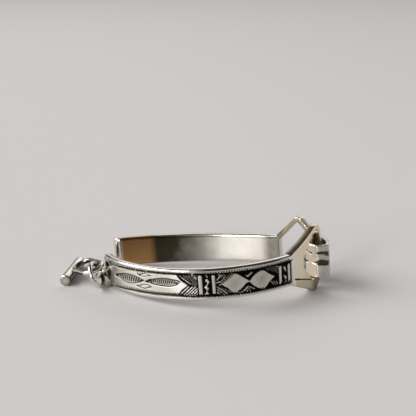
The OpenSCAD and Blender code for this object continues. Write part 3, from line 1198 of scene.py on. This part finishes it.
@dataclass
class Strap:
    """The folded strap that holds the halves together, closed into a flat ring."""

    bends: tuple[tuple[float, float], ...] = (
        (33.2, 4.5),
        (35.2, 5.4),
        (35.0, 8.2),
        (32.9, 13.2),
        (29.9, 13.7),
        (28.8, 11.2),
        (30.4, 6.8),
    )
    bend_r: float = 1.2
    height: float = 9.6
    thickness: float = 1.0
    floor: float = -0.85
    edge: float = 0.22
    groove: float = 0.3
    blackened: float = 0.85
    brushed: float = 0.7
    # Each groove by its places round the strap from the front corner, middles and half widths
    upper: tuple[Run, Run, Run] = (
        (-3.6, -2.9, -2.6, -1.9, -1.3, -0.9, 0.4, 0.9, 2.4, 4.4, 8.0, 20.0, 24.0),
        (7.6, 7.6, 7.4, 7.1, 7.1, 7.3, 7.4, 7.5, 7.45, 6.75, 7.0, 7.0, 7.6),
        (0.35, 0.3, -0.1, 0.35, 0.3, -0.2, -0.1, 0.28, 0.32, 0.8, 0.5, 0.4, 0.35),
    )
    lower: tuple[Run, Run, Run] = (
        (-3.6, -2.8, -2.5, -1.2, 0.2, 1.8, 3.6, 4.8, 8.0, 24.0),
        (4.4, 4.4, 4.4, 4.3, 4.5, 4.65, 4.25, 4.25, 4.5, 4.4),
        (0.3, 0.25, -0.1, 0.0, 0.38, 0.85, 0.62, 0.45, 0.5, 0.35),
    )

    def relief(self, place: np.ndarray, z: float) -> np.ndarray:
        """The two grooves round the strap, with the wavy ridge between them.

        Args:
            place: Places round the strap from the front corner.
            z: Height above its lower edge.

        Returns:
            Depth share at each place.
        """
        level = np.zeros(len(place))
        for at, middle, half in (self.upper, self.lower):
            gap = np.interp(place, at, half) - np.abs(z - np.interp(place, at, middle))
            level = np.maximum(level, ramp(gap / 0.3 + 0.5))
        return level

    def build(self) -> bpy.types.Object:
        """Builds the strap.

        Returns:
            The strap's object.
        """
        outline = resampled(belt([(x, y, self.bend_r) for x, y in self.bends], 12), 0.12)
        normal = inward(outline)
        steps = np.linalg.norm(np.diff(outline, axis=0), axis=1)
        length = np.concatenate([[0], np.cumsum(steps)])
        seen = np.where(length > length[-1] + self.upper[0][0], length - length[-1], length)
        angles = np.radians(np.linspace(0, 90, 5))
        low, drop = self.edge * (1 - np.sin(angles)), self.edge * (1 - np.cos(angles))
        high, under = self.height - low, self.thickness - drop
        rows = [(z, 0.0) for z in np.linspace(self.edge, self.height - self.edge, 90)]
        outer = len(rows)
        rows += [*zip(high, drop)][1:] + [*zip(high, under)][::-1]
        rows += [(z, self.thickness) for z in np.linspace(high[0], low[0], 8)[1:]]
        rows += [*zip(low, under)][1:] + [*zip(low, drop)][:0:-1]
        points, cut, faces, unfolded = [], [], [], []
        n = len(outline)
        for k, (z, depth) in enumerate(rows):
            share = self.relief(seen, z) if k < outer else np.zeros(n)
            plan = outline + normal * (depth + self.groove * share)[:, None]
            points.append(np.column_stack([plan, np.full(n, z + self.floor)]))
            cut.append(share)
            unfolded.append(np.column_stack([length, np.full(n, z + UV_DEPTH * depth)]))
            a, b = k * n, (k + 1) % len(rows) * n
            faces += [(a + i, a + (i + 1) % n, b + (i + 1) % n, b + i) for i in range(n)]
        made = mesh_object("strap", np.vstack(points), faces, stance(), np.vstack(unfolded))
        paint(made, "cut", self.blackened * np.concatenate(cut))
        # Light tarnish, painted shade on the face beyond the front corner and a painted
        # reflection on the face before it
        for name, values in (
            ("brushed", np.full(n, self.brushed)),
            ("tarnish", 0.05 + 0.27 * ramp(seen, 0.8, 1.2)),
            ("film", 0.35 * (1 - ramp(seen, -0.5, 1.5))),
        ):
            paint(made, name, np.tile(values, len(rows)))
        return made

    def dress(self, made: bpy.types.Object) -> None:
        """Finishes the strap and sets it on its body.

        Args:
            made: The strap's object.
        """
        # Filed and rubbed strip, with a softer mirror and blackened grooves
        made.data.materials.append(Silver("strap_sterling").build())
        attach(made, "front")
        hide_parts("strap_link")


def wire_tree() -> bpy.types.NodeTree:
    """Geometry Nodes tree that draws round wire along a closed centre line.

    Returns:
        A tree with named inputs for the wire's size, its unevenness, its facets and its finish.
    """
    tree = bpy.data.node_groups.new("drawn_wire", "GeometryNodeTree")
    face = tree.interface
    face.new_socket("Geometry", in_out="INPUT", socket_type="NodeSocketGeometry")
    for name, kind in (
        ("Wire radius", "NodeSocketFloat"),
        ("Unevenness", "NodeSocketFloat"),
        ("Rings", "NodeSocketInt"),
        ("Sides", "NodeSocketInt"),
        ("Finish", "NodeSocketMaterial"),
    ):
        face.new_socket(name, in_out="INPUT", socket_type=kind)
    face.new_socket("Geometry", in_out="OUTPUT", socket_type="NodeSocketGeometry")
    given = node(tree, "NodeGroupInput").outputs
    links = {"Curve": given["Geometry"], "Count": given["Rings"]}
    path = node(tree, "GeometryNodeResampleCurve", links).outputs["Curve"]
    place = node(tree, "GeometryNodeInputPosition").outputs["Position"]
    # Wire pulled by hand swells and thins over about 3 mm
    links = {"Vector": place, "Scale": 1 / 0.003, "Detail": 1.0}
    wave = node(tree, "ShaderNodeTexNoise", links).outputs["Fac"]
    swell = node(tree, "ShaderNodeMath", {0: wave, 1: 0.5}, operation="SUBTRACT").outputs[0]
    links = {0: swell, 1: given["Unevenness"], 2: 1.0}
    scale = node(tree, "ShaderNodeMath", links, operation="MULTIPLY_ADD").outputs[0]
    links = {"Resolution": given["Sides"], "Radius": given["Wire radius"]}
    ring = node(tree, "GeometryNodeCurvePrimitiveCircle", links).outputs["Curve"]
    links = {"Curve": path, "Profile Curve": ring, "Scale": scale}
    body = node(tree, "GeometryNodeCurveToMesh", links).outputs["Mesh"]
    body = node(tree, "GeometryNodeRealizeInstances", {"Geometry": body}).outputs["Geometry"]
    links = {"Geometry": body, "Material": given["Finish"]}
    body = node(tree, "GeometryNodeSetMaterial", links).outputs["Geometry"]
    node(tree, "NodeGroupOutput", {"Geometry": body})
    return tree


@dataclass(frozen=True)
class Wire:
    """Round wire bent along a closed centre line."""

    name: str
    radius: float
    wire: float
    at: tuple[float, float, float, float, float, float]
    straight: float = 0.0
    uneven: float = 0.03
    rings: int = 220
    sides: int = 28
    tarnish: float = 0.12
    inner_tarnish_and_shade: float = 0.9

    def path(self) -> np.ndarray:
        """Centre line in the piece's own plane.

        Returns:
            Points in millimetres.
        """
        a = np.radians(np.arange(0, 360, 3))
        shift = np.where(np.cos(a) >= 0, 1, -1) * self.straight / 2
        return np.stack([self.radius * np.cos(a) + shift, self.radius * np.sin(a), 0 * a], axis=1)

    def build(self, tree: bpy.types.NodeTree, finish: bpy.types.Material) -> bpy.types.Object:
        """Draws the wire and bakes it into a plain mesh.

        Args:
            tree: The wire tree.
            finish: The material that it sets.

        Returns:
            The piece's object.
        """
        curve = bpy.data.curves.new(self.name + "_line", "CURVE")
        curve.dimensions = "3D"
        spline = curve.splines.new("POLY")
        path = self.path() * MM
        spline.points.add(len(path) - 1)
        spline.points.foreach_set("co", np.column_stack([path, np.ones(len(path))]).ravel())
        spline.use_cyclic_u = True
        line = linked(self.name + "_line", curve)
        added = line.modifiers.new("wire", "NODES")
        added.node_group = tree
        sockets = {s.name: s.identifier for s in tree.interface.items_tree if s.in_out == "INPUT"}
        added[sockets["Wire radius"]] = self.wire / 2 * MM
        added[sockets["Unevenness"]] = self.uneven
        added[sockets["Rings"]] = self.rings
        added[sockets["Sides"]] = self.sides
        added[sockets["Finish"]] = finish
        view = bpy.context.evaluated_depsgraph_get()
        mesh = bpy.data.meshes.new_from_object(line.evaluated_get(view), depsgraph=view)
        line.modifiers.remove(added)
        bpy.data.objects.remove(line)
        faced(mesh, weld=1e-7)
        inner = self.inner_share(mesh)
        mesh.transform(placed(*self.at))
        made = linked(self.name, mesh)
        # Light tarnish all over, with tarnish and painted shade on the inner side
        paint(made, "tarnish", self.tarnish + self.inner_tarnish_and_shade * ramp(inner, -0.05))
        return made

    def inner_share(self, mesh: bpy.types.Mesh) -> np.ndarray:
        """How far the wire faces the ring's inside, which gets tarnish that polishing misses and
        painted shade.

        Args:
            mesh: The ring in its own plane.

        Returns:
            A share for each vertex, from -1 to 1.
        """
        x, y, _ = places_of(mesh).T
        x = x - np.clip(x, -self.straight / 2, self.straight / 2)
        return (self.radius - np.hypot(x, y)) / (self.wire / 2)


@dataclass
class Chain:
    """The two rings between the slot and the toggle."""

    jump: Wire = Wire("slot_ring", 3.15, 1.24, (-27.93, -3.76, 3.76, 41.4, 153.7, 0))
    link: Wire = Wire("middle_ring", 3.55, 1.3, (-29.45, -8.13, 4.03, 63.5, 1.4, 0))

    def build(self, tree: bpy.types.NodeTree) -> list[bpy.types.Object]:
        """Builds both rings.

        Args:
            tree: The wire tree.

        Returns:
            The rings' objects.
        """
        # Drawn wire, worn to a satin shine, dark on the inner sides with tarnish where no cloth
        # reaches and with painted shade
        finish = Silver("ring_wire_sterling", brown="#54493a", polish=0.22, grain=Grain.SATIN)
        silver = finish.build()
        return [self.jump.build(tree, silver), self.link.build(tree, silver)]

    def dress(self, rings: list[bpy.types.Object]) -> None:
        """Sets the rings on their body.

        Args:
            rings: The rings' objects.
        """
        for made, node_name in zip(rings, ("jump_ring", "chain_ring")):
            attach(made, "front")
            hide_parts(node_name)


@dataclass
class Toggle:
    """The round bar and the loop soldered to it."""

    near: tuple[float, float] = (-39.1, -8.6)
    heading: float = 95.0
    across: float = 3.4
    length: float = 17.2
    bevel: float = 0.4
    sides: int = 64
    loop: Wire = Wire("toggle_loop", 2.95, 1.44, (-33.6, -3.92, 4.86, 21.7, -156.6, 114.9), 5.75)

    def profile(self) -> list[tuple[float, float]]:
        """Section of the bar, with slightly hollow ends.

        Returns:
            Radii and places along the bar.
        """
        r, b = self.across / 2, self.bevel
        end = [(0, 0.08), (r * 0.45, 0.05), (r - b - 0.12, 0.0), (r - b, 0.02)]
        turns = np.radians((25, 50, 75, 90))
        end += [(r - b + b * math.sin(a), b - b * math.cos(a)) for a in turns]
        run = [(r, x) for x in np.linspace(b + 0.6, self.length - b - 0.6, 24)]
        return end + run + [(radius, self.length - x) for radius, x in end[::-1]]

    def bar(self) -> bpy.types.Object:
        """Turns the bar on its own axis.

        Returns:
            The bar's object.
        """
        profile, sides = self.profile(), self.sides
        turn = np.radians(np.arange(sides) * 360 / sides)
        points = [(profile[0][1], 0.0, 0.0)]
        for radius, x in profile[1:-1]:
            points += [(x, radius * math.cos(a), radius * math.sin(a)) for a in turn]
        points.append((profile[-1][1], 0.0, 0.0))
        ring = [(i, (i + 1) % sides) for i in range(sides)]
        faces = [(0, 1 + j, 1 + i) for i, j in ring]
        end = 1 + (len(profile) - 3) * sides
        for a in range(1, end, sides):
            b = a + sides
            faces += [(a + i, a + j, b + j, b + i) for i, j in ring]
        faces += [(end + i, end + j, len(points) - 1) for i, j in ring]
        at = Matrix.Translation((self.near[0] * MM, self.near[1] * MM, self.across / 2 * MM))
        turned = Matrix.Rotation(math.radians(self.heading), 4, "Z")
        return mesh_object("toggle_bar", np.array(points), faces, at @ turned)

    def build(self, tree: bpy.types.NodeTree) -> bpy.types.Object:
        """Builds the bar and its loop as one piece.

        Args:
            tree: The wire tree.

        Returns:
            The toggle's object.
        """
        # Turned bar, worn to a satin shine with dull ends
        finish = Silver("toggle_sterling", brown="#54493a", polish=0.22, grain=Grain.SATIN)
        silver = finish.build()
        loop = self.loop.build(tree, silver)
        bar = self.bar()
        bar.data.materials.append(silver)
        # Dull ends and painted shade on the bar's side towards the loop
        paint(bar, "tarnish", self.bar_tarnish_and_shade(bar.data))
        merged = bmesh.new()
        merged.from_mesh(bar.data)
        merged.from_mesh(loop.data)
        merged.to_mesh(bar.data)
        merged.free()
        bar.data.shade_smooth()
        bpy.data.objects.remove(loop)
        bar.name = bar.data.name = "toggle_piece"
        return bar

    def bar_tarnish_and_shade(self, mesh: bpy.types.Mesh) -> np.ndarray:
        """Dull ends, and painted shade on the side towards the loop.

        Args:
            mesh: The bar, in its place.

        Returns:
            Tarnish and painted shade at each vertex.
        """
        places = places_of(mesh) - (self.near[0], self.near[1], self.across / 2)
        turn = math.radians(self.heading)
        along = places @ (math.cos(turn), math.sin(turn), 0)
        side = places @ (math.sin(turn), -math.cos(turn), 0) / (self.across / 2)
        end = 1 - ramp(np.minimum(along, self.length - along), 0, 0.12)
        return 0.1 + 0.8 * ramp(side, 0.35, 0.5) * (1 - end) + 0.4 * end

    def dress(self, made: bpy.types.Object) -> None:
        """Sets the toggle on its body.

        Args:
            made: The toggle's object.
        """
        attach(made, "front")
        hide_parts("toggle")


@dataclass(frozen=True)
class SoftLight:
    """A soft rectangular light. Headings turn from the front towards the right."""

    name: str
    heading: float
    height: float
    distance: float
    wide: float
    tall: float
    power: float


@dataclass(frozen=True)
class Glow:
    """A round patch of the room: its direction, where it starts and is full, and its level."""

    way: tuple[float, float, float]
    start: float
    full: float
    level: float


@dataclass
class Studio:
    """Pale floor, soft light and the camera."""

    camera_at: tuple[float, float, float] = (50.17, -231.62, 89.70)
    forward: tuple[float, float, float] = (-0.19792, 0.94266, -0.26875)
    focal_px: float = 865.8
    picture_px: float = 416.0
    sensor: float = 36.0
    card: str = "#d6d3d2"
    air: str = "#f4f2f0"
    walls: tuple[float, float] = (0.06, 0.6)
    glows: tuple[Glow, ...] = (
        # A dark far corner, a dark ceiling, the bright left and a window at the right
        Glow((-0.62, 0.72, 0.3), 0.90, 0.97, 0.15),
        Glow((0.0, 0.26, 0.966), 0.70, 0.84, 0.05),
        Glow((-0.79, -0.51, 0.34), 0.60, 0.82, 0.85),
        Glow((0.95, 0.1, 0.12), 0.88, 0.97, 1.5),
    )
    lights: tuple[SoftLight, ...] = (
        SoftLight("window_left", -76, 36, 3.0, 2.6, 1.6, 77),
        SoftLight("window_front", -23, 17, 3.0, 0.7, 0.9, 30),
        SoftLight("window_right", 40, 12, 3.0, 0.6, 0.6, 1.2),
        SoftLight("far_fill", 180, 35, 3.5, 4.0, 2.4, 22),
    )

    def camera(self) -> None:
        """Makes the camera and sets it as the scene's."""
        data = bpy.data.cameras.new("camera")
        data.sensor_width = self.sensor
        data.lens = self.focal_px / self.picture_px * self.sensor
        data.clip_start, data.clip_end = 0.01, 50
        made = linked("camera", data)
        ahead = Vector(self.forward).normalized()
        right = ahead.cross(Vector((0, 0, 1))).normalized()
        turn = Matrix((right, right.cross(ahead), -ahead)).transposed().to_4x4()
        made.matrix_world = Matrix.Translation(Vector(self.camera_at) * MM) @ turn
        bpy.context.scene.camera = made

    def floor(self) -> None:
        """Lays the floor."""
        mesh = bpy.data.meshes.new("floor")
        mesh.from_pydata([(-4, -2, 0), (4, -2, 0), (4, 7, 0), (-4, 7, 0)], [], [(0, 1, 2, 3)])
        made = linked("floor", mesh)
        # Pressed card, matt, so it takes soft shadows and no reflection
        paper = bpy.data.materials.new("pale_card")
        paper.use_nodes = True
        shader = paper.node_tree.nodes["Principled BSDF"]
        shader.inputs["Base Color"].default_value = linear(self.card)
        shader.inputs["Roughness"].default_value = 0.6
        mesh.materials.append(paper)

    def light(self, soft: SoftLight) -> None:
        """Hangs a soft light that faces the bangle.

        Args:
            soft: The light.
        """
        heading, height = math.radians(soft.heading), math.radians(soft.height)
        flat, up = soft.distance * math.cos(height), soft.distance * math.sin(height)
        at = Vector((flat * math.sin(heading), -flat * math.cos(heading), up))
        data = bpy.data.lights.new(soft.name, "AREA")
        data.shape = "RECTANGLE"
        data.size, data.size_y = soft.wide, soft.tall
        data.energy = soft.power
        made = linked(soft.name, data)
        made.location = at
        made.rotation_mode = "QUATERNION"
        made.rotation_quaternion = (-at).to_track_quat("-Z", "Y")

    def room(self) -> None:
        """Lights the rest of the room: paler behind than in front, with the glows over it."""
        world = bpy.data.worlds.new("room")
        bpy.context.scene.world = world
        world.use_nodes = True
        tree = world.node_tree
        tree.nodes.clear()
        way = node(tree, "ShaderNodeTexCoord").outputs["Generated"]
        deep = node(tree, "ShaderNodeSeparateXYZ", {"Vector": way}).outputs["Y"]
        links = {"Value": deep, "From Min": -0.1, "From Max": 0.4}
        links |= {"To Min": self.walls[0], "To Max": self.walls[1]}
        level = node(tree, "ShaderNodeMapRange", links).outputs["Result"]
        for patch in self.glows:
            links = {0: way, 1: patch.way}
            dot = node(tree, "ShaderNodeVectorMath", links, operation="DOT_PRODUCT")
            links = {"Value": dot.outputs["Value"], "From Min": patch.start}
            links |= {"From Max": patch.full}
            share = node(tree, "ShaderNodeMapRange", links).outputs["Result"]
            links = {"Factor": share, 2: level, 3: patch.level}
            level = node(tree, "ShaderNodeMix", links).outputs[0]
        links = {"Color": linear(self.air), "Strength": level}
        back = node(tree, "ShaderNodeBackground", links).outputs["Background"]
        node(tree, "ShaderNodeOutputWorld", {"Surface": back})

    def build(self) -> None:
        """Builds the studio."""
        self.camera()
        self.floor()
        for soft in self.lights:
            self.light(soft)
        self.room()
        bpy.context.scene.view_settings.view_transform = "Standard"


def main() -> None:
    """Builds the studio and then each piece, and reports them."""
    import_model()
    Studio().build()
    tree = wire_tree()
    front, rear, strap, chain, toggle = FrontHalf(), RearHalf(), Strap(), Chain(), Toggle()
    for part in (front, rear, strap):
        made = part.build()
        part.dress(made)
        log.info("%s: %d faces", made.name, len(made.data.polygons))
    rings = chain.build(tree)
    chain.dress(rings)
    made = toggle.build(tree)
    toggle.dress(made)
    for piece in rings + [made]:
        log.info("%s: %d faces", piece.name, len(piece.data.polygons))


if __name__ == "__main__":
    main()
